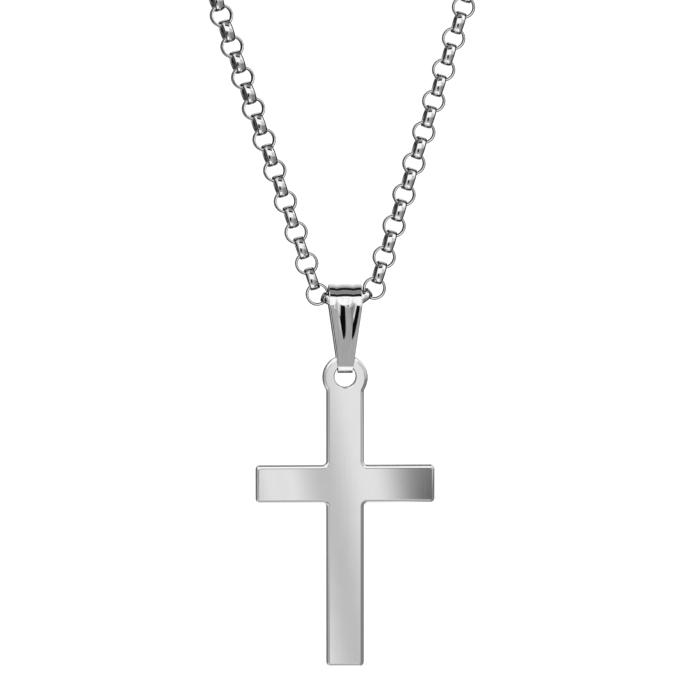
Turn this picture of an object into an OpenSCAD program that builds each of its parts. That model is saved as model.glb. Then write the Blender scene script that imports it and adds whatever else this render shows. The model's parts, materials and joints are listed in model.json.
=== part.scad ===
// Latin cross pendant with a ribbed bail on a rolo chain, hanging as worn.
// Millimetres. X to the right, Y to the back, Z up. The origin is on the nape, where the chain
// touches the back of the neck, so the cross hangs low in front of it.

/* [Cross] */
// Height of the cross from the middle of the eyelet to the foot
cross_h = 37.0; // [30:0.5:45]
// Width of the crossbar from end to end
arm_span = 22.8; // [18:0.2:28]
// Width of the upright
stem_w = 4.77; // [4.2:0.05:5.2]
// Width of the crossbar's arms, from top to bottom
arm_w = 4.8; // [3.5:0.1:6]
// Distance from the middle of the eyelet down to the middle of the crossbar
arm_drop = 13.6; // [11:0.2:17]
// Thickness of the plate
plate_t = 1.3; // [1.1:0.05:1.5]
// Rounding of the outer corners
corner_r = 0.55; // [0.4:0.05:0.9]
// Rounding in the four inner corners
inner_r = 0.5; // [0.3:0.05:0.9]
// Width of the bevel that runs round both faces
bevel_w = 0.34; // [0.2:0.02:0.4]
// Depth of that bevel
bevel_h = 0.22; // [0.1:0.02:0.3]
// Outer diameter of the eyelet
eyelet_d = 5.76; // [5.2:0.04:6.4]
// Diameter of the hole in the eyelet
hole_d = 2.7; // [2.6:0.05:3]
// Depth of the bevel at the hole's two edges
hole_bevel = 0.15; // [0.1:0.01:0.2]
// How far the hole is set above the middle of the eyelet
hole_rise = 0.14; // [0:0.02:0.2]

/* [Bail] */
// Thickness of the bail's strap
strap_t = 0.34; // [0.3:0.02:0.4]
// Width of the strap over the chain
crown_w = 4.2; // [3.9:0.05:4.3]
// Width of the strap in the eyelet
tip_w = 1.9; // [1.5:0.05:1.95]
// Height of the bail's loop, from the axis it swings on to its lowest point
bail_drop = 8.78; // [8:0.1:11]
// Inner radius of the bend that holds the eyelet
tip_r = 1.5; // [1.4:0.05:1.7]
// Distance between the two grooves where they cross the top
groove_gap = 2.1; // [1.6:0.1:2.6]
// Distance between the two grooves where they fade out
groove_gap_low = 0.8; // [0.6:0.05:1.2]
// Length of the grooves down the face, from the swing axis
groove_drop = 5.2; // [3.5:0.1:6]
// Radius of the tool that cuts the grooves
groove_r = 0.3; // [0.2:0.02:0.4]
// Depth of the grooves at the top
groove_depth = 0.16; // [0.08:0.01:0.2]

/* [Chain] */
// Outer diameter of a round link
link_d = 3.0; // [2.8:0.05:3.2]
// Thickness of a link's band, along its radius
link_t = 0.34; // [0.3:0.02:0.38]
// Width of a link's band, along its axis
link_w = 1.24; // [1:0.02:1.26]
// Width of the flat middle of the band
link_land = 0.46; // [0.3:0.02:0.5]
// Thickness that is left of the band at its two rims
link_rim = 0.07; // [0.05:0.01:0.08]
// Slack between two links that are pulled straight
link_play = 0.24; // [0.22:0.01:0.34]
// Links on each side of the one inside the bail, an odd number
side_links = 117; // [101:2:121]
// Lean of the left strand from upright, in degrees
lean_left = 18.9; // [15:0.1:21]
// Lean of the right strand from upright, in degrees
lean_right = 17.6; // [15:0.1:21]
// Radius at which each strand turns from rising to running round the neck
turn_r = 60; // [50:1:70]

/* [Neck] */
// Width of the flat front and back of the neck form
neck_flat = 32; // [32:1:44]
// Radius of the neck form's round sides, which is also half its depth
neck_r = 38.5; // [35:0.5:42]

/* [Clasp] */
// Length of the closed clasp
clasp_len = 11.2; // [10:0.2:14]
// Width of the clasp's hook
clasp_w = 5.0; // [4.4:0.1:5.6]
// Width of the clasp's heel, behind the hook's opening
clasp_heel = 3.1; // [2.6:0.1:3.6]
// Thickness of the clasp
clasp_t = 1.2; // [1:0.05:1.3]
// Width of the clasp's bar where a link hangs on it
clasp_bar = 0.7; // [0.6:0.02:0.75]

/* [Fits] */
// Gap between the chain and the bail's crown
crown_gap = 0.1; // [0.1:0.01:0.3]
// Gap between the eyelet's hole and the bail that carries it
seat_gap = 0.14; // [0.1:0.01:0.2]
// Gap between a clasp's bar and the link on it
clasp_gap = 0.12; // [0.1:0.01:0.2]
// Height of the bail's swing axis above the middle link's centre
axis_rise = 0.3; // [0.2:0.02:0.4]
// How far the bail has slid to the left of the middle link
bail_slide = 0.3; // [0.26:0.02:0.4]

/* [Hidden] */

// The chain's first steps away from the middle link: rises in degrees, left side, then right side
route = [[22, 24], [33, 36]];

LEFT = -1;
RIGHT = 1;
link_r = link_d / 2;
link_in = link_r - link_t;
link_mid = link_r - link_t / 2;
pitch = 2 * link_in - link_play;

// The bar of a clasp lies in its link's hole this far from the link's centre
bar_seat = sqrt(pow(link_in - clasp_gap, 2) - pow(clasp_t / 2, 2)) - clasp_bar;
half_len = side_links * pitch + clasp_len / 2 + bar_seat;

// The neck form: a stadium whose surface carries the middle of the chain
path_r = neck_r + link_r;
flat_half = neck_flat / 2;
round_len = PI * path_r;
girth = 4 * flat_half + 2 * round_len;
neck_y = -neck_r;

// Along each side the chain steps out of the bail, rises straight, turns and runs level to the nape.
function steps(side) = route[side == LEFT ? 0 : 1];
function lean(side) = side == LEFT ? lean_left : lean_right;
function steps_out(side) = pitch * (cos(steps(side)[0]) + cos(steps(side)[1]));
function steps_up(side) = pitch * (sin(steps(side)[0]) + sin(steps(side)[1]));
function turn_len(side) = turn_r * (90 - lean(side)) * PI / 180;
function up_fixed(side) = steps_up(side) + turn_r * (1 - sin(lean(side)));
function out_fixed(side) =
    steps_out(side) + turn_r * cos(lean(side)) + half_len - 2 * pitch - turn_len(side);
function narrowing(side) = (1 - sin(lean(side))) / cos(lean(side));

// Both sides end at one height, and together they go once round the neck, which sets that height.
neck_rise = (out_fixed(LEFT) + out_fixed(RIGHT) + up_fixed(LEFT) * narrowing(LEFT)
    + up_fixed(RIGHT) * narrowing(RIGHT) - girth) / (narrowing(LEFT) + narrowing(RIGHT));
function strand_len(side) = (neck_rise - up_fixed(side)) / cos(lean(side));
function side_out(side) = out_fixed(side) - strand_len(side) * (1 - sin(lean(side)));

// The turn at the top of a strand, from one lean to another
function turned(a, b) = turn_r * [cos(a) - cos(b), sin(b) - sin(a)];

// Distance out and up from the middle link after a length s of one side
function laid(side, s) =
    let (two = 2 * pitch, s1 = two + strand_len(side), s2 = s1 + turn_len(side), a = lean(side))
    s <= pitch ? s * [cos(steps(side)[0]), sin(steps(side)[0])] :
    s <= two ? pitch * [cos(steps(side)[0]), sin(steps(side)[0])]
        + (s - pitch) * [cos(steps(side)[1]), sin(steps(side)[1])] :
    s <= s1 ? [steps_out(side), steps_up(side)] + (s - two) * [sin(a), cos(a)] :
    s <= s2 ? laid(side, s1) + turned(a, a + (s - s1) / turn_r * 180 / PI) :
    laid(side, s2) + [s - s2, 0];

// The neck form's surface: u is the distance round it from the middle of the front
function wrap_angle(u) = min(max(abs(u) - flat_half, 0) / path_r, PI) * 180 / PI;
function outward(u) = [sign(u) * sin(wrap_angle(u)), -cos(wrap_angle(u)), 0];
function wrapped(u, z) =
    let (back = max(abs(u) - flat_half - round_len, 0), straight = min(abs(u), flat_half) - back)
    [sign(u) * straight, neck_y, z] + path_r * outward(u);

// Link 0 hangs inside the bail, links below 0 are on the left
middle_u = girth / 2 - side_out(RIGHT);
function side_of(i) = i < 0 ? LEFT : RIGHT;
function link_flat(i) = laid(side_of(i), abs(i) * pitch);
function link_u(i) = middle_u + side_of(i) * link_flat(i)[0];
function link_at(i) = abs(i) > side_links ? wrapped(side_of(i) * girth / 2, 0)
    : wrapped(link_u(i), link_flat(i)[1] - neck_rise);
function unit(v) = v / norm(v);
function link_along(i) = unit(link_at(i + 1) - link_at(i - 1));

// Every second link lies flat against the neck form, and the others stand on edge
function link_axis(i) = i % 2 == 0 ? outward(link_u(i)) : unit(cross(link_along(i), outward(link_u(i))));

// The bail's crown clears the corners of the two edge-on links in its mouth
middle = link_at(0);
bail_x = middle.x - bail_slide;
bail_y = middle.y;
bail_z = middle.z + axis_rise;
function mouth_reach(i) =
    let (p = link_at(i), d = link_along(i), tilt = atan2(abs(d.z), abs(d.x)),
        beyond = max(crown_w / 2 - abs(p.x - bail_x), 0))
    norm([sqrt(pow(link_mid + link_rim / 2, 2) - pow(beyond / cos(tilt), 2)),
        p.z - bail_z + beyond * tan(tilt) + link_w / 2 / cos(tilt)]);
crown_r = max(mouth_reach(-1), mouth_reach(1)) + crown_gap;

// The bail's legs are the two common tangents of its crown and its tip
tip_z = strap_t + tip_r - bail_drop;
leg_lean = asin((crown_r - tip_r) / -tip_z);

// The eyelet hangs on the bail's tip, whose bend rises under the hole's edges
hole_land = plate_t / 2 - hole_bevel;
tip_rise = tip_r - sqrt(pow(tip_r, 2) - pow(hole_land, 2));
hole_top = sqrt(pow(hole_d, 2) - pow(tip_w, 2)) / 2;
hole_z = bail_z - bail_drop + strap_t + tip_rise + seat_gap - hole_top;
eyelet_z = hole_z - hole_rise;
arm_z = eyelet_z - arm_drop;
foot_z = eyelet_z - cross_h;

steel = [0.80, 0.80, 0.81];
bright_steel = [0.88, 0.88, 0.89];
// Facets in a preview, of any round shape and of a link
$fn = 48;
link_fn = 32;

// Puts the Z axis of a round part on a direction
module facing(at, axis) {
    translate(at) rotate([0, acos(axis.z), atan2(axis.y, axis.x)]) children();
}

// A bar from the plate's middle plane outwards, with the bevel along its long sides
module bevelled(width, length) {
    half_w = width / 2;
    half_t = plate_t / 2;
    linear_extrude(height = length) polygon([
        [half_w, bevel_h - half_t], [half_w, half_t - bevel_h], [half_w - bevel_w, half_t],
        [bevel_w - half_w, half_t], [-half_w, half_t - bevel_h], [-half_w, bevel_h - half_t],
        [bevel_w - half_w, -half_t], [half_w - bevel_w, -half_t]]);
}

// A rectangle in the front view with rounded corners, standing on its lower edge
module rounded(width, height) {
    for (x = [corner_r - width / 2, width / 2 - corner_r], z = [corner_r, height - corner_r])
        translate([x, z]) circle(r = corner_r);
    translate([-width / 2, corner_r]) square([width, height - 2 * corner_r]);
    translate([corner_r - width / 2, 0]) square([width - 2 * corner_r, height]);
}

// A bar of the cross with all its edges bevelled, from z = 0 up to its height
module bar(width, height) {
    intersection() {
        bevelled(width, height);
        translate([-width / 2, 0, height / 2]) rotate([0, 90, 0]) bevelled(height, width);
        rotate([90, 0, 0]) translate([0, 0, -plate_t / 2])
            linear_extrude(height = plate_t) rounded(width, height);
    }
}

module eyelet_disc() {
    r = eyelet_d / 2;
    rotate([90, 0, 0]) rotate_extrude() polygon([
        [0, -plate_t / 2], [r - bevel_w, -plate_t / 2], [r, bevel_h - plate_t / 2],
        [r, plate_t / 2 - bevel_h], [r - bevel_w, plate_t / 2], [0, plate_t / 2]]);
}

// Fills the inner corner on one side of the upright, above or below the arm, and laps into both
module inner_fillet(side, up) {
    lap = 0.01;
    depth = plate_t - 2 * bevel_h;
    translate([side * stem_w / 2, 0, arm_z + up * arm_w / 2]) difference() {
        translate([side > 0 ? -lap : -inner_r, -depth / 2, up > 0 ? -lap : -inner_r])
            cube([inner_r + lap, depth, inner_r + lap]);
        translate([side * inner_r, 0, up * inner_r]) rotate([90, 0, 0])
            cylinder(r = inner_r, h = plate_t, center = true);
    }
}

module cross() {
    color(bright_steel) translate([bail_x, bail_y, 0]) difference() {
        union() {
            translate([0, 0, foot_z]) bar(stem_w, cross_h);
            translate([0, 0, arm_z - arm_w / 2]) bar(arm_span, arm_w);
            translate([0, 0, eyelet_z]) eyelet_disc();
            for (side = [LEFT, RIGHT], up = [-1, 1]) inner_fillet(side, up);
        }
        translate([0, 0, hole_z]) rotate([90, 0, 0]) {
            cylinder(d = hole_d, h = 2 * plate_t, center = true);
            for (face = [0, 180]) rotate([face, 0, 0]) translate([0, 0, hole_land])
                cylinder(d1 = hole_d, d2 = hole_d + 4 * hole_bevel, h = 2 * hole_bevel);
        }
    }
}

// A solid whose outline is two circles and the tangents that join them, lying along X
module egg(r1, r2, length, height) {
    c = sqrt(1 - pow((r1 - r2) / length, 2));
    s = (r1 - r2) / length;
    cylinder(r = r1, h = height, center = true);
    translate([length, 0, 0]) cylinder(r = r2, h = height, center = true);
    linear_extrude(height = height, center = true) polygon([[r1 * s, r1 * c],
        [length + r2 * s, r2 * c], [length + r2 * s, -r2 * c], [r1 * s, -r1 * c]]);
}

// Front view of the bail, which narrows from the swing axis to the stretch that lies in the hole
module bail_front() {
    top = crown_r + strap_t;
    low = 2 * strap_t - bail_drop;
    polygon([[-crown_w / 2, top], [crown_w / 2, top], [crown_w / 2, 0], [tip_w / 2, low],
        [tip_w / 2, -bail_drop], [-tip_w / 2, -bail_drop], [-tip_w / 2, low], [-crown_w / 2, 0]]);
}

// One groove runs over the crown, and a tapering one runs down each leg
module groove(side) {
    over = crown_r + strap_t + groove_r - groove_depth;
    x = side * groove_gap / 2;
    low_x = side * groove_gap_low / 2;
    translate([x, 0, 0]) rotate([0, 90, 0]) rotate([0, 0, 90])
        rotate_extrude(angle = 180) translate([over, 0]) circle(r = groove_r);
    for (face = [-1, 1]) {
        top = [x, face * over, 0];
        low = [low_x, face * (over + groove_depth - groove_drop * tan(leg_lean)), -groove_drop];
        facing(top, unit(low - top)) cylinder(r1 = groove_r, r2 = groove_r / 2, h = norm(low - top));
    }
}

module bail() {
    color(bright_steel) translate([bail_x, bail_y, bail_z]) difference() {
        intersection() {
            rotate([0, 90, 0]) difference() {
                egg(crown_r + strap_t, tip_r + strap_t, -tip_z, crown_w);
                egg(crown_r, tip_r, -tip_z, 2 * crown_w);
            }
            rotate([90, 0, 0]) linear_extrude(height = 4 * crown_r, center = true) bail_front();
        }
        for (side = [LEFT, RIGHT]) groove(side);
    }
}

// A round link whose band is flat in the middle and bevelled to a thin rim on both sides
module link() {
    land = link_land / 2;
    rim = link_rim / 2;
    side = link_w / 2;
    rotate_extrude($fn = link_fn) polygon([
        [link_in, -land], [link_mid - rim, -side], [link_mid + rim, -side], [link_r, -land],
        [link_r, land], [link_mid + rim, side], [link_mid - rim, side], [link_in, land]]);
}

module chain() {
    color(steel) for (i = [-side_links : side_links]) facing(link_at(i), link_axis(i)) link();
}

// A closed hook with an eye behind it, finished plainly as one piece
module clasp() {
    eye_in = link_w / 2 + 2 * clasp_gap;
    eye_out = eye_in + clasp_bar;
    hook_out = clasp_w / 2;
    heel_out = clasp_heel / 2;
    hook_x = hook_out - clasp_len / 2;
    eye_x = clasp_len / 2 - eye_out;
    heel_x = eye_x - eye_out - heel_out + clasp_bar;
    color(steel) translate([0, link_r, 0]) rotate([90, 0, 0]) difference() {
        union() {
            translate([hook_x, 0, 0]) egg(hook_out, heel_out, heel_x - hook_x, clasp_t);
            translate([heel_x, -clasp_bar, -clasp_t / 2]) cube([eye_x - heel_x, 2 * clasp_bar, clasp_t]);
            translate([eye_x, 0, 0]) cylinder(r = eye_out, h = clasp_t, center = true);
        }
        translate([hook_x, 0, 0])
            egg(hook_out - clasp_bar, heel_out - clasp_bar, heel_x - hook_x, 2 * clasp_t);
        translate([eye_x, 0, 0]) cylinder(r = eye_in, h = 2 * clasp_t, center = true);
    }
}

cross();
bail();
chain();
clasp();
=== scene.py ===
import json
import math

import bmesh
import bpy
import numpy as np
from bpy.props import FloatProperty, FloatVectorProperty, IntProperty, PointerProperty
from bpy.types import Operator, Panel, PropertyGroup
from mathutils import Matrix, Vector

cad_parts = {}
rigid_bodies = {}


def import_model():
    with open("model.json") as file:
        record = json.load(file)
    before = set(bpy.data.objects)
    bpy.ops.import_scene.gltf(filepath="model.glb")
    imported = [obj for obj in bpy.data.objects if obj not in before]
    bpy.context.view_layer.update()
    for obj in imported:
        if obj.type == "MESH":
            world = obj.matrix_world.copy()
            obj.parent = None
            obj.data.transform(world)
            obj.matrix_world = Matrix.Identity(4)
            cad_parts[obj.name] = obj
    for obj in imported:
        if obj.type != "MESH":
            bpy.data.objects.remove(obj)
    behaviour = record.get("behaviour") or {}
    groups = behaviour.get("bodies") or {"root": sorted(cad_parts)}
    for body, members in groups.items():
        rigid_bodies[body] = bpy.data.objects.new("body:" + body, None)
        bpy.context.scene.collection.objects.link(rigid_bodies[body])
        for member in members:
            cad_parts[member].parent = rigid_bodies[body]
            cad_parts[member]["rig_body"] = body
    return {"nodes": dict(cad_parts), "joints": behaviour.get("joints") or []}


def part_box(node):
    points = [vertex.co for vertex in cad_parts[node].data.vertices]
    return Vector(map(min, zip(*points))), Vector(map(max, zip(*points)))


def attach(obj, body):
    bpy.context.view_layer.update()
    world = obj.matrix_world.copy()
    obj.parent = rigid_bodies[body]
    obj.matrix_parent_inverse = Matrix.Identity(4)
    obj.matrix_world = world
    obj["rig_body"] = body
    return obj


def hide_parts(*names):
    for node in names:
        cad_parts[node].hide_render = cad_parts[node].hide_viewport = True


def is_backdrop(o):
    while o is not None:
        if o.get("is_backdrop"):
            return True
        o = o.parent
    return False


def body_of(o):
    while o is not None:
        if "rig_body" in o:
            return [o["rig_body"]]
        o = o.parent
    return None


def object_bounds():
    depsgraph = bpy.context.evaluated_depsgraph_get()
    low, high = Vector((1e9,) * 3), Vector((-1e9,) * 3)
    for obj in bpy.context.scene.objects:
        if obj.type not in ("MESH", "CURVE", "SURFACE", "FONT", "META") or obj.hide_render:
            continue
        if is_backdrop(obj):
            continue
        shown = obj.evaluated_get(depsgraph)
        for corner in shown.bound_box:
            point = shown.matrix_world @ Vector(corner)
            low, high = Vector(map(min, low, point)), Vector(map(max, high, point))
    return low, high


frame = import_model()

bl_info = {
    "name": "Cross Pendant",
    "version": (1, 0, 0),
    "blender": (4, 5, 0),
    "location": "View3D > Sidebar > Pendant",
    "description": "Dresses a cross pendant on its chain in polished metal and lights it",
    "category": "Add Mesh",
}

MM = 0.001
IMAGE_PIXELS = 700
BAIL_PIXEL = Vector((345.0, 304.4))  # where the picture shows the middle of the bail's crown
HINGES = {joint["name"]: Vector(joint["pos_m"]) for joint in frame["joints"]}
TOWARDS_VIEWER = Vector((0, -1, 0))
FRONT_TURN = (0, -1, 0)
LOOP_TURN = (-1, 0, 0)

# Vertices closer than these are one: in a finished piece, between the stretches of the bail, at the
# mirror plane of the cross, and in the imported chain
SAME_POINT, SAME_SEAM, SAME_MIRROR, SAME_PACKED = 0.002 * MM, 0.004 * MM, 0.005 * MM, 0.0005 * MM
# Edges sharper than this stay sharp in the shading of the cross, the bail, the chain and the clasp
CROSS_SHARP, BAIL_SHARP, CHAIN_SHARP, CLASP_SHARP = 14, 35, 75, 30

# The polish: sizes of its streaks, clouds and specks, and what they do to roughness and tone
STREAK_SCALE, CLOUD_SCALE, SPECK_SCALE, SPECK_DEPTH = 4500.0, 420.0, 9000.0, 0.0004 * MM
STREAK_ROUGH, CLOUD_ROUGH, DARK_ROUGH = 0.05, 0.03, 0.2
TONE, CLOUD_TONE, STREAK_TONE = 0.97, 0.06, 0.05
# The waves in the cross's face: their length, shift, lean and tilt, and the roll at its right end
WAVE_LONG, WAVE_SHIFT, WAVE_LEAN, WAVE_TILT = 11.2 * MM, 2.5 * MM, 0.18, math.radians(1.6)
END_START, END_LONG, END_TILT = 2.9 * MM, 7.2 * MM, math.radians(3.9)
# How far the band of a link tilts more at its sides than its faces do
BAND_HALF, BAND_TILT = 0.62 * MM, math.tan(math.radians(21))

# The border of the cross: the tilts of its slope and of the fine step inside it, and the faces in
# its rounding
BORDER_SLOPE, BORDER_STEP, BORDER_FACES = math.radians(21), math.radians(57), 5
# Faces in the rounded corners, in the fillets under the eyelet, and round the eyelet and its hole
CORNER_FACES, FILLET_FACES, ROUND_FACES = 8, 6, 72
# The rounding of the hole's edges: the tilt at which it starts, and its faces
HOLE_START, HOLE_FACES = 15, 4
# A face whose normal has more than this of the viewing direction faces the viewer
FACING = 0.9

# Where the rounding of the bail's edges starts across the strap
EDGE_START = 0.955
# Faces round the bail's crown and its tip, and across the sides of the strap
CROWN_FACES, TIP_FACES, SIDE_FACES = 40, 24, 4
# How quickly the grooves fade down the leg, and how much shallower they are over the crown
GROOVE_FADE, GROOVE_SHALLOW, SHALLOW_RISE = 1.2, 0.5, 3
# Shares of the strap's thickness: up to where a vertex is on its outside, from where it is on its
# inside, and the deepest cut
OUTSIDE, INSIDE, DEEPEST = 0.01, 0.99, 0.6

# Shade painted on the insides: the depth from which, the depth at which, and the share of the tone
# that it takes. The bail's depths are shares of the strap, the links' are the places' last numbers.
BAIL_PAINTED_SHADE = (0.5, 0.8, 0.82)
CHAIN_PAINTED_SHADE = (0.2, 0.75, 0.93)

LINK_RADIUS = 1.5 * MM
# One side of a link's section: places along its dome, then places across its rim as shares of the
# rim's width and drops from the full width of the band. The last number is how much shade is
# painted
# on the place: a dark line along the rim's outer corner and a dark inside.
DOME_PLACES = ((0.45, 0), (0.84, 0), (1, 0.7))
DOME_DROP = 0.6
RIM_PLACES = ((0.82, 0.2, 0.8), (0.62, 0.02, 0), (0.15, 0, 0), (0, 0.22, 0.3))
# The twist of the strands: how far to the side it starts and over how much it grows, for the left
# and the right, and how much of the right one is lost where the left one is full. Both fade out
# over TWIST_FADE up to the height TWIST_END above the bail.
LEFT_START, LEFT_GROW, RIGHT_START, RIGHT_GROW, RIGHT_LOSS = 4 * MM, 8 * MM, 3 * MM, 4 * MM, 0.7
TWIST_END, TWIST_FADE = 75 * MM, 30 * MM

# The clasp: faces that differ less than this become one, edges sharper than this get rounded
CLASP_FLAT, CLASP_RIM, CLASP_FACES = 2, 50, 4

# The floor: its sides, its grain and its paper
FLOOR_SIDES, GRAIN_SCALE, PAPER_ROUGH, PAPER_GLOW = 96, 300.0, 0.9, 0.3
PAPER_DARK, PAPER_LIGHT = (0.93, 0.93, 0.93, 1), (0.97, 0.97, 0.97, 1)
# How near and how far the camera sees, in metres
NEAREST, FARTHEST = 0.01, 50

# What reflections see: white, how much less from the horizon down and under the front, and how much
# more from straight below. Everything else sees plain light.
WHITE, LOW_LESS, UNDER_LESS, BELOW_MORE = 1.4, 0.25, 0.6, 0.25
PLAIN_LIGHT = 1.1
# Dark bands across the studio: pitch from and to, softness, share of the light taken, and where
LIGHT_BANDS = (
    (51, 68, 1, 0.99, "above"), (68, 95, 2, 0.76, "above"), (95, 117, 1, 0.99, "above"),
    (117, 134, 2, 0.66, "all"), (134, 160, 2, 0.66, "crown"), (160, 169, 1, 0.93, "back_crown"),
    (169, 181, 1, 0.95, "back"), (-148, -120, 3, 0.95, "all"), (-163, -148, 1, 0.35, "all"),
    (-181, -163, 1, 0.95, "back"),
)


def length(name, description, size_mm):
    """A size that is shown in the scene's units and given here in millimetres."""
    return FloatProperty(
        name=name, description=description, default=size_mm * MM, min=0, unit="LENGTH", precision=6
    )


def turn(name, description, degrees):
    return FloatProperty(
        name=name, description=description, default=math.radians(degrees), subtype="ANGLE"
    )


class CrossSizes(PropertyGroup):
    stem_width: length("Upright width", "Width of the upright", 4.77)
    arm_width: length("Arm width", "Height of the crossbar", 4.8)
    arm_drop: length("Arm drop", "Distance from the eyelet's middle to the crossbar's", 13.6)
    corner: length("Corner radius", "Rounding of the outer corners", 0.55)
    inner_corner: length("Inner radius", "Rounding where the arms meet the upright", 0.5)
    border: length("Border width", "Width of the border round both faces", 0.42)
    border_edge: length("Border edge", "Rounding between the border and the side wall", 0.26)
    border_line: length("Border line", "Width of the fine step inside the border", 0.05)
    eyelet: length("Eyelet radius", "Outer radius of the eyelet", 2.88)
    neck_fillet: length("Neck fillet", "Radius where the eyelet runs into the upright", 1.0)
    hole: length("Hole radius", "Radius of the eyelet's hole", 1.35)
    hole_rise: length("Hole rise", "How far the hole sits above the eyelet's middle", 0.14)
    hole_edge: length("Hole edge", "Rounding of the hole's edges", 0.15)
    hole_bend: length("Hole bend", "Depth of the rounding of the hole's edges", 0.27)


class BailSizes(PropertyGroup):
    strap: length("Strap thickness", "Thickness of the bail's strap", 0.34)
    crown_width: length("Crown width", "Width of the strap over the chain", 4.2)
    tip_width: length("Tip width", "Width of the strap in the eyelet", 1.9)
    groove_gap: length("Groove distance", "Distance between the grooves at the crown", 2.05)
    groove_gap_low: length("Lower groove distance", "Distance between the grooves' ends", 0.9)
    groove_lean: length("Groove lean", "How far the grooves' ends lie to the right", 0.3)
    groove_drop: length("Groove length", "How far the grooves run down from the axis", 4.9)
    groove_depth: length("Groove depth", "Depth of the grooves at the crown", 0.2)
    edge: length("Edge rounding", "Rounding of the strap's long edges", 0.05)
    columns: IntProperty(name="Columns", description="Faces across the strap", default=48, min=12)
    rows: IntProperty(name="Rows", description="Faces down each leg", default=28, min=8)


class ChainSizes(PropertyGroup):
    band_width: length("Band width", "Width of a link's band", 1.26)
    band_thickness: length("Band thickness", "Thickness of a link's band", 0.35)
    flat: length("Flat width", "Width of the flat inside a band", 0.64)
    lip: length("Lip", "Rise of the rim over the flat inside a band", 0.06)
    rim: length("Rim width", "Width of the rim at a band's sides", 0.23)
    ring_steps: IntProperty(name="Ring steps", description="Faces round a link", default=22, min=8)
    left_turn: turn("Left turn", "How far the links of the left strand turn, high up", 11)
    right_turn: turn("Right turn", "How far the links of the right strand turn, low down", 6)


class ClaspSizes(PropertyGroup):
    edge: length("Edge rounding", "Rounding of the clasp's edges", 0.22)


class Finish(PropertyGroup):
    metal: FloatVectorProperty(
        name="Metal", description="Colour of the polished metal", subtype="COLOR",
        default=(0.86, 0.86, 0.865), min=0, max=1,
    )
    gloss: FloatProperty(
        name="Roughness", description="Roughness of the polish", default=0.06, min=0, max=1
    )


class StageSizes(PropertyGroup):
    floor_drop: length("Floor drop", "Distance from the foot of the cross to the floor", 45)
    floor_radius: length("Floor radius", "Radius of the floor", 6000)
    distance: length("Camera distance", "Distance from the camera to the cross", 900)
    width_seen: length("Width seen", "Width of the picture where the cross hangs", 89.0)
    azimuth: turn("Azimuth", "How far the camera stands to the left", 3.0)
    elevation: turn("Elevation", "How far the camera looks down", 5.0)


class Flow:
    """A socket of a node tree that takes part in expressions."""

    def __init__(self, tree, socket):
        self.tree = tree
        self.socket = socket

    def maths(self, operation, *others, clamp=False):
        settings = {"operation": operation, "use_clamp": clamp}
        return self.tree.node("ShaderNodeMath", settings, dict(enumerate((self, *others))))

    def __add__(self, other):
        return self.maths("ADD", other)

    __radd__ = __add__

    def __sub__(self, other):
        return self.maths("SUBTRACT", other)

    def __rsub__(self, other):
        return self.tree.number(other, "SUBTRACT", self)

    def __mul__(self, other):
        return self.maths("MULTIPLY", other)

    __rmul__ = __mul__

    def power(self, other):
        return self.maths("POWER", other)

    def clamped(self):
        return self.maths("ADD", 0.0, clamp=True)


class Tree:
    """A node tree and the one way that nodes are added to it."""

    def __init__(self, owner):
        owner.use_nodes = True
        self.nodes = owner.node_tree.nodes
        self.links = owner.node_tree.links
        self.nodes.clear()

    def node(self, kind, settings=None, inputs=None, output=0):
        made = self.nodes.new(kind)
        for key, value in (settings or {}).items():
            setattr(made, key, value)
        for key, value in (inputs or {}).items():
            if isinstance(value, Flow):
                self.links.new(value.socket, made.inputs[key])
            else:
                made.inputs[key].default_value = value
        return Flow(self, made.outputs[output]) if made.outputs else None

    def number(self, value, operation, flow):
        return self.node("ShaderNodeMath", {"operation": operation}, {0: value, 1: flow})

    def step(self, flow, start, end):
        """0 before start, 1 after end, smooth between them."""
        settings = {"interpolation_type": "SMOOTHSTEP"}
        return self.node(
            "ShaderNodeMapRange", settings, {"Value": flow, "From Min": start, "From Max": end}
        )

    def between(self, flow, low, high, soft):
        """1 from low to high, 0 outside, smooth over soft on both sides of each."""
        ended = self.step(flow, high - soft, high + soft)
        return self.step(flow, low - soft, low + soft) * (1 - ended)


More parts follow.
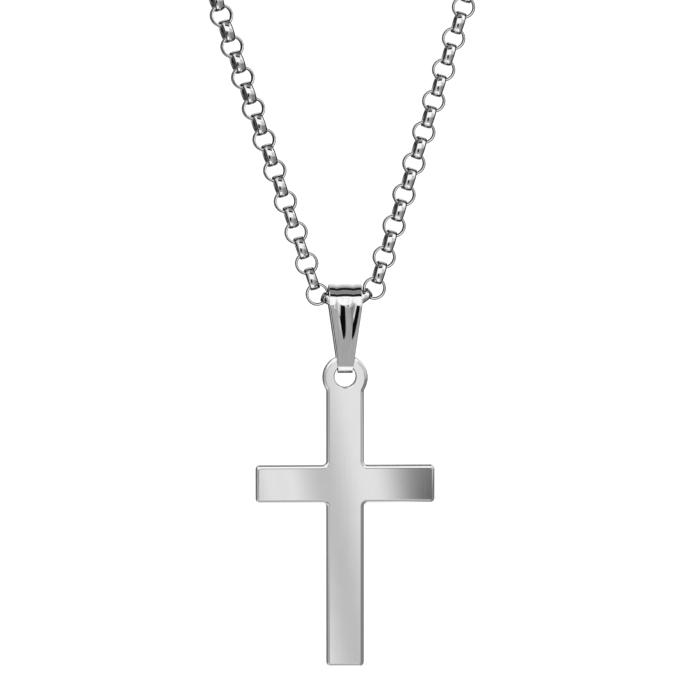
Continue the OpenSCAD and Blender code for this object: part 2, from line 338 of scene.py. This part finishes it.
def polished(
    name, finish, streaks=(1, 1, 1), streak_depth=0.0, streak_tone=STREAK_TONE, shape=None,
    painted_shade=None,
):
    """Polished metal with faint streaks, clouds and specks.

    shape adds a height to it. The last argument paints shade into the tone: it names a vertex
    attribute, its values where the painted shade starts and is full, and the share of the tone that
    the shade takes there; the polish is also rougher there.
    """
    material = bpy.data.materials.new(name)
    tree = Tree(material)
    place = tree.node("ShaderNodeTexCoord", output="Object")
    drawn = tree.node(
        "ShaderNodeMapping", {"vector_type": "POINT"}, {"Vector": place, "Scale": streaks}
    )
    streak = tree.node(
        "ShaderNodeTexNoise", {"noise_dimensions": "3D"},
        {"Vector": drawn, "Scale": STREAK_SCALE, "Detail": 3.0},
    )
    cloud = tree.node(
        "ShaderNodeTexNoise", {}, {"Vector": place, "Scale": CLOUD_SCALE, "Detail": 2.0}
    )
    speck = tree.node(
        "ShaderNodeTexNoise", {}, {"Vector": place, "Scale": SPECK_SCALE, "Detail": 2.0}
    )
    rough = finish.gloss + STREAK_ROUGH * (streak - 0.5) + CLOUD_ROUGH * (cloud - 0.5)
    tone = TONE + CLOUD_TONE * (cloud - 0.5) + streak_tone * (streak - 0.5)
    # Painted shade: a darker tone, and a rougher polish, where the named vertex attribute is high
    if painted_shade:
        attribute, start, full, share = painted_shade
        depth = tree.node("ShaderNodeAttribute", {"attribute_name": attribute}, output="Fac")
        dull_and_shaded = tree.step(depth, start, full)
        rough = rough + DARK_ROUGH * dull_and_shaded
        tone = tone * (1 - share * dull_and_shaded)
    colour = tree.node(
        "ShaderNodeMix", {"data_type": "RGBA", "blend_type": "MIX"},
        {"Factor": tone.clamped(), 6: (0, 0, 0, 1), 7: (*finish.metal, 1)}, output=2,
    )
    height = streak * streak_depth + speck * SPECK_DEPTH
    if shape:
        height = height + shape(tree, place)
    bump = tree.node("ShaderNodeBump", {}, {"Strength": 1.0, "Distance": 1.0, "Height": height})
    metal = tree.node(
        "ShaderNodeBsdfPrincipled", {},
        {"Base Color": colour, "Metallic": 1.0, "Roughness": rough, "Normal": bump},
    )
    tree.node("ShaderNodeOutputMaterial", {}, {"Surface": metal})
    return material


def crowned_band(tree, place):
    """A height that crowns a link's band a little more than its few faces do."""
    band = tree.node("ShaderNodeAttribute", {"attribute_name": "band"}, output="Fac")
    return band * band * (-BAND_TILT / 2 / BAND_HALF)


def hand_polish(tree, place, middle_x, arm_z):
    """The slight waves that a polishing wheel leaves in a flat face, as a height."""
    parts = tree.node("ShaderNodeSeparateXYZ", {}, {"Vector": place})
    x = parts - middle_x
    z = Flow(tree, parts.socket.node.outputs["Z"]) - arm_z
    wave_turn = 2 * math.pi / WAVE_LONG
    swing = ((x + z * WAVE_LEAN + WAVE_SHIFT) * wave_turn).maths("SINE")
    end = (x - END_START).maths("MAXIMUM", 0.0)
    rolled = end.power(3.0) * (math.tan(END_TILT) / 3 / END_LONG**2)
    return (swing * (math.tan(WAVE_TILT) / wave_turn) + rolled) * -1.0


def finished(bm, name, material, node, sharp_degrees):
    """Makes the object of a piece, hangs it on its body and lets it stand for its CAD node."""
    bmesh.ops.remove_doubles(bm, verts=bm.verts, dist=SAME_POINT)
    bmesh.ops.recalc_face_normals(bm, faces=bm.faces)
    mesh = bpy.data.meshes.new(name)
    bm.to_mesh(mesh)
    bm.free()
    mesh.shade_smooth()
    mesh.set_sharp_from_angle(angle=math.radians(sharp_degrees))
    mesh.materials.append(material)
    piece = bpy.data.objects.new(name, mesh)
    bpy.context.scene.collection.objects.link(piece)
    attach(piece, body_of(frame["nodes"][node])[0])
    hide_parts(node)
    return piece


def ramp(value, start, rise):
    """0 up to start, 1 from rise beyond it on, straight between them."""
    return min(max((value - start) / rise, 0), 1)


def of_kind(geom, kind):
    return [part for part in geom if isinstance(part, kind)]


def extruded(bm, edges):
    """Extrudes edges on the spot and returns the new vertices and edges."""
    geom = bmesh.ops.extrude_edge_only(bm, edges=edges)["geom"]
    return of_kind(geom, bmesh.types.BMVert), of_kind(geom, bmesh.types.BMEdge)


def sweep(bm, geom, centre, axis, angle, steps):
    """Spins vertices and edges round an axis and returns the last ones."""
    made = bmesh.ops.spin(
        bm, geom=geom, cent=centre, axis=axis, angle=angle, steps=steps, use_duplicate=False
    )
    return made["geom_last"]


def draw(bm, geom, path, steps):
    """Extrudes edges along a straight path and returns the last ones with their vertices."""
    for _ in range(steps):
        verts, edges = extruded(bm, of_kind(geom, bmesh.types.BMEdge))
        bmesh.ops.translate(bm, verts=verts, vec=path / steps)
        geom = verts + edges
    return geom


def cross_outline(bm, sizes, foot, half_span):
    """The front view of the cross as one face, with the eyelet's middle at the origin."""
    half = sizes.stem_width / 2
    reach = sizes.eyelet + sizes.neck_fillet
    side = half + sizes.neck_fillet
    neck = -math.sqrt(reach**2 - side**2)
    fillet = math.atan2(-neck, side)
    last = bm.verts.new((half, 0, neck))
    for centre, angle, steps in (
        ((side, 0, neck), -fillet, FILLET_FACES),
        ((0, 0, 0), math.pi + 2 * fillet, ROUND_FACES),
        ((-side, 0, neck), -fillet, FILLET_FACES),
    ):
        ends = sweep(bm, [last], centre, FRONT_TURN, angle, steps)
        last = of_kind(ends, bmesh.types.BMVert)[0]
    arm_top = sizes.arm_width / 2 - sizes.arm_drop
    arm_low = arm_top - sizes.arm_width
    corners = [
        (-half, arm_top), (-half_span, arm_top), (-half_span, arm_low), (-half, arm_low),
        (-half, foot), (half, foot),
        (half, arm_low), (half_span, arm_low), (half_span, arm_top), (half, arm_top),
    ]
    bent = [bm.verts.new((x, 0, z)) for x, z in corners]
    bm.faces.new(list(bm.verts))
    inner = [bent[i] for i in (0, 3, 6, 9)]
    outer = [vert for vert in bent if vert not in inner]
    for verts, radius in ((outer, sizes.corner), (inner, sizes.inner_corner)):
        bmesh.ops.bevel(
            bm, geom=verts, offset=radius, segments=CORNER_FACES, profile=0.5, affect="VERTICES",
            material=-1, clamp_overlap=True,
        )
    return bm.faces[:][0]


def border_profile(sizes):
    """The border from the side wall inwards, as distances from the outline and rises."""
    edge, upright = sizes.border_edge, math.radians(90)
    tilts = [
        upright + (BORDER_SLOPE - upright) * k / BORDER_FACES for k in range(1, BORDER_FACES + 1)
    ]
    points = [(edge * (1 - math.sin(tilt)), edge * math.cos(tilt)) for tilt in tilts]
    step = sizes.border - sizes.border_line
    points.append((step, points[-1][1] + (step - points[-1][0]) * math.tan(BORDER_SLOPE)))
    points.append((sizes.border, points[-1][1] + sizes.border_line * math.tan(BORDER_STEP)))
    return points


def round_hole(bm, edges, sizes, face_y):
    """Rounds the eyelet's hole from its ring of edges in the face down to the middle plane."""
    radius = sizes.hole + sizes.hole_edge
    for k in range(1, HOLE_FACES + 1):
        tilt = math.radians(HOLE_START + (90 - HOLE_START) * k / HOLE_FACES)
        verts, edges = extruded(bm, edges)
        wanted = sizes.hole + sizes.hole_edge * (1 - math.sin(tilt))
        depth = sizes.hole_bend * (1 - math.cos(tilt))
        bmesh.ops.scale(
            bm, verts=verts, vec=(wanted / radius, 1, wanted / radius),
            space=Matrix.Translation((0, 0, -sizes.hole_rise)),
        )
        bmesh.ops.translate(bm, verts=verts, vec=(0, face_y + depth - verts[0].co.y, 0))
        radius = wanted
    verts, edges = extruded(bm, edges)
    bmesh.ops.translate(bm, verts=verts, vec=(0, -verts[0].co.y, 0))


def build_cross(sizes, finish):
    low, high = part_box("cross")
    middle = (low + high) / 2
    eyelet_z = high.z - sizes.eyelet
    half_thick = (high.y - low.y) / 2
    bm = bmesh.new()
    front = cross_outline(bm, sizes, low.z - eyelet_z, (high.x - low.x) / 2)
    front.normal_update()
    if front.normal.y > 0:
        front.normal_flip()
    border = border_profile(sizes)
    wall = half_thick - border[-1][1]
    made = bmesh.ops.extrude_face_region(bm, geom=[front])["geom"]
    bmesh.ops.translate(bm, verts=of_kind(made, bmesh.types.BMVert), vec=TOWARDS_VIEWER * wall)
    cap = of_kind(made, bmesh.types.BMFace)[0]
    back = [face for face in bm.faces if face is not cap and abs(face.normal.y) > FACING]
    bmesh.ops.delete(bm, geom=back, context="FACES_ONLY")
    cap.normal_update()
    done = (0.0, 0.0)
    for now in border:
        bmesh.ops.inset_region(
            bm, faces=[cap], thickness=now[0] - done[0], depth=now[1] - done[1],
            use_boundary=True, use_even_offset=True,
        )
        done = now
    rim = list(cap.edges)
    face_y = -half_thick
    bmesh.ops.delete(bm, geom=[cap], context="FACES_ONLY")
    place = Matrix.Translation((0, face_y, sizes.hole_rise)) @ Matrix.Rotation(math.pi / 2, 4, "X")
    ring = bmesh.ops.create_circle(
        bm, cap_ends=False, segments=ROUND_FACES, radius=sizes.hole + sizes.hole_edge, matrix=place
    )["verts"]
    ring_edges = list({edge for vert in ring for edge in vert.link_edges})
    bmesh.ops.triangle_fill(
        bm, edges=rim + ring_edges, use_beauty=True, use_dissolve=False, normal=TOWARDS_VIEWER
    )
    round_hole(bm, ring_edges, sizes, face_y)
    everything = bm.verts[:] + bm.edges[:] + bm.faces[:]
    bmesh.ops.mirror(bm, geom=everything, axis="Y", merge_dist=SAME_MIRROR)
    bmesh.ops.translate(bm, verts=bm.verts, vec=(middle.x, middle.y, eyelet_z))
    material = polished(
        "cross_polish", finish, streaks=(1, 1, 0.03), streak_depth=0.0006 * MM,
        shape=lambda tree, place: hand_polish(tree, place, middle.x, eyelet_z - sizes.arm_drop),
    )
    return finished(bm, "cross_plate", material, "cross", CROSS_SHARP)


def build_bail(sizes, finish):
    low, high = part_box("bail")
    crown, tip = HINGES["bail_swing"], HINGES["cross_swing"]
    crown_out = (high.y - low.y) / 2
    tip_out = tip.z - low.z
    fall = crown.z - tip.z
    lean = math.asin((crown_out - tip_out) / fall)

    def section(columns):
        """A strap's section: places across, -1 to 1 with grooves at -0.5 and 0.5, and depths."""
        outer = [(-1 + 2 * k / columns, 0.0) for k in range(columns + 1)]
        inner = [(1 - 2 * k / columns, sizes.strap) for k in range(columns + 1)]
        depths = [
            0.5 * sizes.strap * (1 - math.cos(math.pi * k / SIDE_FACES))
            for k in range(1, SIDE_FACES)
        ]
        right = [(1.0, depth) for depth in depths]
        left = [(-1.0, depth) for depth in reversed(depths)]
        return outer + right + inner + left

    def outward(y, z):
        """The way out of the strap at a place of its loop, crown first, then leg, then tip."""
        for centre, below in ((crown, False), (tip, True)):
            away = Vector((abs(y - centre.y), z - centre.z))
            if away.length and (math.atan2(away.y, away.x) <= -lean) == below:
                away.normalize()
                return away
        return Vector((math.cos(lean), -math.sin(lean)))

    bm = bmesh.new()
    across = bm.verts.layers.float.new("across")
    inward = bm.verts.layers.float.new("inward")
    start = Vector((0, -math.cos(lean), -math.sin(lean)))
    row = []
    for s, depth in section(sizes.columns):
        vert = bm.verts.new(Vector((s * MM, crown.y, crown.z)) + start * (crown_out - depth))
        vert[across], vert[inward] = s, depth
        row.append(vert)
    edges = [bm.edges.new((row[i], row[(i + 1) % len(row)])) for i in range(len(row))]
    down = Vector((0, math.sin(lean), -math.cos(lean))) * (fall * math.cos(lean))
    up = Vector((0, math.sin(lean), math.cos(lean))) * (fall * math.cos(lean))
    around = Vector((0, crown.y, crown.z))
    geom = sweep(bm, row + edges, around, LOOP_TURN, math.pi + 2 * lean, CROWN_FACES)
    geom = draw(bm, geom, Vector((0, -down.y, down.z)), sizes.rows)
    around = Vector((0, tip.y, tip.z))
    geom = sweep(bm, geom, around, LOOP_TURN, math.pi - 2 * lean, TIP_FACES)
    draw(bm, geom, Vector((0, -up.y, up.z)), sizes.rows)
    bmesh.ops.remove_doubles(bm, verts=bm.verts, dist=SAME_SEAM)

    taper_end = low.z + 2 * sizes.strap
    groove_end = crown.z - sizes.groove_drop
    for vert in bm.verts:
        s, depth = vert[across], vert[inward]
        y, z = vert.co.y, vert.co.z
        way = ramp(crown.z - z, 0, crown.z - taper_end)
        half = (sizes.crown_width + (sizes.tip_width - sizes.crown_width) * way) / 2
        fade = ramp(crown.z - z, 0, crown.z - groove_end)
        gap = (sizes.groove_gap + (sizes.groove_gap_low - sizes.groove_gap) * fade) / 2
        x = 2 * abs(s) * gap if abs(s) < 0.5 else gap + (2 * abs(s) - 1) * (half - gap)
        x = math.copysign(x, s) + sizes.groove_lean * fade * (1 - abs(x) / half)
        out = outward(y, z)
        lobe = (2 * abs(s)) ** 2 if abs(s) < 0.5 else (2 - 2 * abs(s)) ** 3
        shallow = GROOVE_SHALLOW * min(SHALLOW_RISE * ramp(z - crown.z, 0, crown_out), 1)
        deep = sizes.groove_depth * (1 - fade) ** GROOVE_FADE * (1 - shallow)
        cut = deep * lobe if depth < sizes.strap * OUTSIDE else 0
        edge = sizes.edge * max(abs(s) - EDGE_START, 0) / (1 - EDGE_START)
        cut = min(cut + edge, DEEPEST * sizes.strap)
        if depth > sizes.strap * INSIDE:
            cut = -edge
        side = math.copysign(1, y - crown.y)
        vert.co.x = crown.x + x
        vert.co.y = y - side * out.x * cut
        vert.co.z = z - out.y * cut
    # Shade painted on the inside of the strap, where it wraps round the chain and the eyelet
    start_dark, full_dark, share = BAIL_PAINTED_SHADE
    material = polished(
        "bail_polish", finish, streaks=(1, 1, 0.04), streak_depth=0.0012 * MM, streak_tone=0.4,
        painted_shade=("inward", start_dark * sizes.strap, full_dark * sizes.strap, share),
    )
    return finished(bm, "bail_loop", material, "bail", BAIL_SHARP)


def link_places():
    """Where each link's middle is and how it is turned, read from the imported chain."""
    bm = bmesh.new()
    bm.from_mesh(frame["nodes"]["chain"].data)
    bmesh.ops.remove_doubles(bm, verts=bm.verts, dist=SAME_PACKED)
    seen, places = set(), []
    for first in bm.verts:
        if first in seen:
            continue
        seen.add(first)
        ring, waiting = [], [first]
        while waiting:
            vert = waiting.pop()
            ring.append(vert.co[:])
            for edge in vert.link_edges:
                other = edge.other_vert(vert)
                if other not in seen:
                    seen.add(other)
                    waiting.append(other)
        points = np.array(ring)
        points = points - points.mean(0)
        turned = np.linalg.eigh(points.T @ points)[1]
        axis = Vector(turned[:, 0])
        spread = points @ turned
        middle = Vector(turned @ ((spread.max(0) + spread.min(0)) / 2) + np.array(ring).mean(0))
        places.append((middle, axis))
    bm.free()
    return places


def along_chain(places):
    """The chain's upward direction at each link, from its two neighbours."""
    points = np.array([middle[:] for middle, _ in places])
    ways = []
    for point in points:
        near = np.argsort(((points - point) ** 2).sum(1))[1:3]
        way = Vector(points[near[0]] - points[near[1]]).normalized()
        ways.append(way if way.z > 0 else -way)
    return ways


def strand_turn(sizes, middle):
    """How far the chain is twisted at a link, as the photograph shows its strands."""
    away = middle - HINGES["bail_swing"]
    out = ramp(abs(away.x), LEFT_START, LEFT_GROW)
    fade = ramp(TWIST_END - away.z, 0, TWIST_FADE)
    if away.x < 0:
        return sizes.left_turn * out * fade
    grown = ramp(away.x, RIGHT_START, RIGHT_GROW)
    return sizes.right_turn * grown * (1 - RIGHT_LOSS * out) * fade


def link_mesh(sizes):
    """One ring in the plane across Z: a domed band with rounded rims and a flat inside in painted
    shade.

    Its section runs from the middle of the outside over one side to the other, as distances from
    the ring's axis, heights and how much shade is painted on each place: a dark line along the
    rims' outer corners and a dark inside.
    """
    half = sizes.band_width / 2
    inner = LINK_RADIUS - sizes.band_thickness
    rim_in = inner + sizes.lip
    dome_end = half - DOME_DROP * sizes.rim
    dome = LINK_RADIUS - rim_in - sizes.rim
    side = [(LINK_RADIUS - dome * k**2, dome_end * k, painted_shade) for k, painted_shade in DOME_PLACES]
    side += [
        (rim_in + share * sizes.rim, half - drop * sizes.rim, painted_shade)
        for share, drop, painted_shade in RIM_PLACES
    ]
    # The flat inside gets the full painted shade
    side.append((inner, sizes.flat / 2, 1))
    other_side = [(reach, -height, painted_shade) for reach, height, painted_shade in reversed(side)]
    section = [(LINK_RADIUS, 0, 0)] + side + other_side
    bm = bmesh.new()
    band = bm.verts.layers.float.new("band")
    inward = bm.verts.layers.float.new("inward")
    verts = []
    for reach, height, painted_shade in section:
        vert = bm.verts.new((reach, 0, height))
        vert[band], vert[inward] = height, painted_shade
        verts.append(vert)
    for k in range(len(verts)):
        bm.edges.new((verts[k], verts[(k + 1) % len(verts)]))
    bmesh.ops.spin(
        bm, geom=bm.verts[:] + bm.edges[:], cent=(0, 0, 0), axis=(0, 0, 1), angle=2 * math.pi,
        steps=sizes.ring_steps, use_merge=True, use_duplicate=False,
    )
    mesh = bpy.data.meshes.new("link_pattern")
    bm.to_mesh(mesh)
    bm.free()
    return mesh


def build_chain(sizes, finish):
    places = link_places()
    pattern = link_mesh(sizes)
    bm = bmesh.new()
    for (middle, axis), way in zip(places, along_chain(places)):
        before = len(bm.verts)
        bm.from_mesh(pattern)
        bm.verts.ensure_lookup_table()
        square = axis.to_track_quat("Z", "Y").to_matrix().to_4x4()
        twist = Matrix.Rotation(strand_turn(sizes, middle), 4, way)
        place = Matrix.Translation(middle) @ twist @ square
        bmesh.ops.transform(bm, matrix=place, verts=bm.verts[before:])
    bpy.data.meshes.remove(pattern)
    # Shade painted on the links' insides and in a dark line along their rims' outer corners
    material = polished(
        "chain_polish", finish, shape=crowned_band, painted_shade=("inward", *CHAIN_PAINTED_SHADE)
    )
    return finished(bm, "chain_links", material, "chain", CHAIN_SHARP)


def build_clasp(sizes, finish):
    """The clasp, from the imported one, with its edges rounded."""
    bm = bmesh.new()
    bm.from_mesh(frame["nodes"]["clasp"].data)
    bmesh.ops.remove_doubles(bm, verts=bm.verts, dist=SAME_POINT)
    bmesh.ops.dissolve_limit(
        bm, angle_limit=math.radians(CLASP_FLAT), verts=bm.verts, edges=bm.edges,
        use_dissolve_boundaries=False,
    )
    rims = [edge for edge in bm.edges if edge.calc_face_angle(0) > math.radians(CLASP_RIM)]
    bmesh.ops.bevel(
        bm, geom=rims, offset=sizes.edge, segments=CLASP_FACES, profile=0.5, affect="EDGES",
        material=-1, clamp_overlap=True,
    )
    material = polished("clasp_polish", finish)
    return finished(bm, "clasp_hook", material, "clasp", CLASP_SHARP)


def studio_light():
    """A pale studio: even light on the floor, and soft white, grey and dark panels for the metal.

    A direction is given as its pitch, 0 at the front horizon, 90 overhead, 180 at the back horizon
    and below 0 under the front horizon, and its side, -90 at the left and 90 at the right.
    """
    world = bpy.data.worlds.new("studio")
    bpy.context.scene.world = world
    tree = Tree(world)
    way = tree.node("ShaderNodeTexCoord", output="Generated")
    unit = tree.node("ShaderNodeVectorMath", {"operation": "NORMALIZE"}, {0: way})
    parts = tree.node("ShaderNodeSeparateXYZ", {}, {"Vector": unit})
    x, y, z = (Flow(tree, parts.socket.node.outputs[i]) for i in range(3))
    pitch = z.maths("ARCTAN2", y * -1.0) * (180 / math.pi)
    side = x.maths("ARCSINE") * (180 / math.pi)

    def dimmed(light, share, *places):
        """Takes a share of the light away where all of the places are 1."""
        for place in places:
            share = share * place
        return light * (1 - share)

    light = WHITE - LOW_LESS * (1 - tree.step(pitch, -1, 4))
    # Under the front, but for the left, and straight below, with its right side darker
    light = light - UNDER_LESS * tree.between(pitch, -61, -11, 2) * tree.step(side, -34, -26)
    below = 1 - tree.step(pitch, -64, -61)
    light = light + BELOW_MORE * below
    light = dimmed(light, 0.65, below, tree.step(side, 9, 15))
    # The front horizon gets darker to the right and ends there
    falling = (side * (0.84 / 15)).clamped() * (1 - tree.step(side, 16, 19))
    light = dimmed(light, falling, tree.between(pitch, -10, 0, 1))
    # The right, up to halfway overhead
    light = dimmed(light, 0.4, tree.step(side, 20, 34), 1 - tree.step(pitch, 38, 50))
    # The camera, black at the left below the horizon
    light = dimmed(light, 0.99, tree.between(side, -26, -2, 1) * tree.between(pitch, -40, -3, 1))
    # The far left, and the outermost sides behind and in front
    light = dimmed(light, 0.55, 1 - tree.step(side, -42, -34))
    front = tree.between(pitch, -90, 90, 5)
    light = dimmed(light, 0.96, 1 - front, tree.step(side, 66, 74))
    light = dimmed(light, 0.96, front, 1 - tree.step(side, -64, -55))
    back = 0.6 + 0.4 * tree.step(side, -54, -46)
    crown = tree.between(side, -12, 17, 4)
    where = {
        "all": 1.0,
        "above": tree.between(side, -24, 30, 4),
        "back": back,
        "crown": 1 - 0.5 * crown,
        "back_crown": back * (1 - 0.85 * crown),
    }
    for low, high, soft, share, name in LIGHT_BANDS:
        light = dimmed(light, share, tree.between(pitch, low, high, soft), where[name])
    glossy = tree.node("ShaderNodeLightPath", output="Is Glossy Ray")
    seen = (1 - glossy) * PLAIN_LIGHT + glossy * light
    shine = tree.node("ShaderNodeBackground", {}, {"Strength": seen})
    tree.node("ShaderNodeOutputWorld", {}, {"Surface": shine})


def build_floor(sizes):
    low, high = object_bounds()
    bm = bmesh.new()
    bmesh.ops.create_circle(
        bm, cap_ends=True, segments=FLOOR_SIDES, radius=sizes.floor_radius,
        matrix=Matrix.Translation((0, (low.y + high.y) / 2, low.z - sizes.floor_drop)),
    )
    mesh = bpy.data.meshes.new("floor")
    bm.to_mesh(mesh)
    bm.free()
    floor = bpy.data.objects.new("floor", mesh)
    bpy.context.scene.collection.objects.link(floor)
    material = bpy.data.materials.new("floor_paper")
    tree = Tree(material)
    place = tree.node("ShaderNodeTexCoord", output="Object")
    grain = tree.node("ShaderNodeTexNoise", {}, {"Vector": place, "Scale": GRAIN_SCALE})
    tone = tree.node(
        "ShaderNodeMix", {"data_type": "RGBA"},
        {"Factor": grain, 6: PAPER_DARK, 7: PAPER_LIGHT}, output=2,
    )
    paper = tree.node(
        "ShaderNodeBsdfPrincipled", {},
        {
            "Base Color": tone, "Roughness": PAPER_ROUGH,
            "Emission Color": (1, 1, 1, 1), "Emission Strength": PAPER_GLOW,
        },
    )
    tree.node("ShaderNodeOutputMaterial", {}, {"Surface": paper})
    mesh.materials.append(material)
    floor.visible_glossy = False
    floor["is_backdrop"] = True


def place_camera(sizes):
    """A long lens at the photograph's angle, framed on the cross and the bail."""
    scene = bpy.context.scene
    hang = HINGES["bail_swing"]
    per_pixel = sizes.width_seen / IMAGE_PIXELS
    right = (IMAGE_PIXELS / 2 - BAIL_PIXEL.x) * per_pixel
    down = (IMAGE_PIXELS / 2 - BAIL_PIXEL.y) * per_pixel
    back = Vector((
        -math.sin(sizes.azimuth) * math.cos(sizes.elevation),
        -math.cos(sizes.azimuth) * math.cos(sizes.elevation),
        math.sin(sizes.elevation),
    ))
    turned = (-back).to_track_quat("-Z", "Y")
    target = hang + turned @ Vector((right, -down, 0))
    data = bpy.data.cameras.new("camera")
    data.lens = data.sensor_width * sizes.distance / sizes.width_seen
    data.clip_start, data.clip_end = NEAREST, FARTHEST
    camera = bpy.data.objects.new("camera", data)
    camera.rotation_mode = "QUATERNION"
    camera.location = target + back * sizes.distance
    camera.rotation_quaternion = turned
    scene.collection.objects.link(camera)
    scene.camera = camera
    scene.view_settings.view_transform = "Standard"


class PENDANT_OT_cross(Operator):
    """Build the polished cross with its bevelled border and eyelet"""

    bl_idname = "pendant.cross"
    bl_label = "Build Cross"

    def execute(self, context):
        build_cross(context.scene.pendant_cross, context.scene.pendant_finish)
        return {"FINISHED"}


class PENDANT_OT_bail(Operator):
    """Build the ribbed, tapered bail"""

    bl_idname = "pendant.bail"
    bl_label = "Build Bail"

    def execute(self, context):
        build_bail(context.scene.pendant_bail, context.scene.pendant_finish)
        return {"FINISHED"}


class PENDANT_OT_chain(Operator):
    """Build the rolo chain, one domed ring for each packed link"""

    bl_idname = "pendant.chain"
    bl_label = "Build Chain"

    def execute(self, context):
        build_chain(context.scene.pendant_chain, context.scene.pendant_finish)
        return {"FINISHED"}


class PENDANT_OT_clasp(Operator):
    """Build the closed clasp behind the neck"""

    bl_idname = "pendant.clasp"
    bl_label = "Build Clasp"

    def execute(self, context):
        build_clasp(context.scene.pendant_clasp, context.scene.pendant_finish)
        return {"FINISHED"}


class PENDANT_OT_stage(Operator):
    """Set the floor, the studio light and the camera"""

    bl_idname = "pendant.stage"
    bl_label = "Set Stage"

    def execute(self, context):
        sizes = context.scene.pendant_stage
        build_floor(sizes)
        studio_light()
        place_camera(sizes)
        return {"FINISHED"}


class PENDANT_PT_tools(Panel):
    bl_idname = "PENDANT_PT_tools"
    bl_label = "Cross Pendant"
    bl_space_type = "VIEW_3D"
    bl_region_type = "UI"
    bl_category = "Pendant"

    def draw(self, context):
        for group, operator in STEPS.items():
            box = self.layout.box()
            sizes = getattr(context.scene, group)
            for name in sizes.bl_rna.properties.keys():
                if name not in ("rna_type", "name"):
                    box.prop(sizes, name)
            if operator:
                box.operator(operator.bl_idname)


GROUPS = {
    "pendant_cross": CrossSizes,
    "pendant_bail": BailSizes,
    "pendant_chain": ChainSizes,
    "pendant_clasp": ClaspSizes,
    "pendant_stage": StageSizes,
    "pendant_finish": Finish,
}
STEPS = {
    "pendant_finish": None,
    "pendant_cross": PENDANT_OT_cross,
    "pendant_bail": PENDANT_OT_bail,
    "pendant_chain": PENDANT_OT_chain,
    "pendant_clasp": PENDANT_OT_clasp,
    "pendant_stage": PENDANT_OT_stage,
}
OPERATORS = [operator for operator in STEPS.values() if operator]


def register():
    for cls in (*GROUPS.values(), *OPERATORS, PENDANT_PT_tools):
        bpy.utils.register_class(cls)
    for name, group in GROUPS.items():
        setattr(bpy.types.Scene, name, PointerProperty(type=group))


def unregister():
    for name in GROUPS:
        delattr(bpy.types.Scene, name)
    for cls in reversed((*GROUPS.values(), *OPERATORS, PENDANT_PT_tools)):
        bpy.utils.unregister_class(cls)


def main():
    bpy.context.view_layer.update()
    register()
    bpy.ops.pendant.cross()
    bpy.ops.pendant.bail()
    bpy.ops.pendant.chain()
    bpy.ops.pendant.clasp()
    bpy.ops.pendant.stage()


if __name__ == "__main__":
    main()
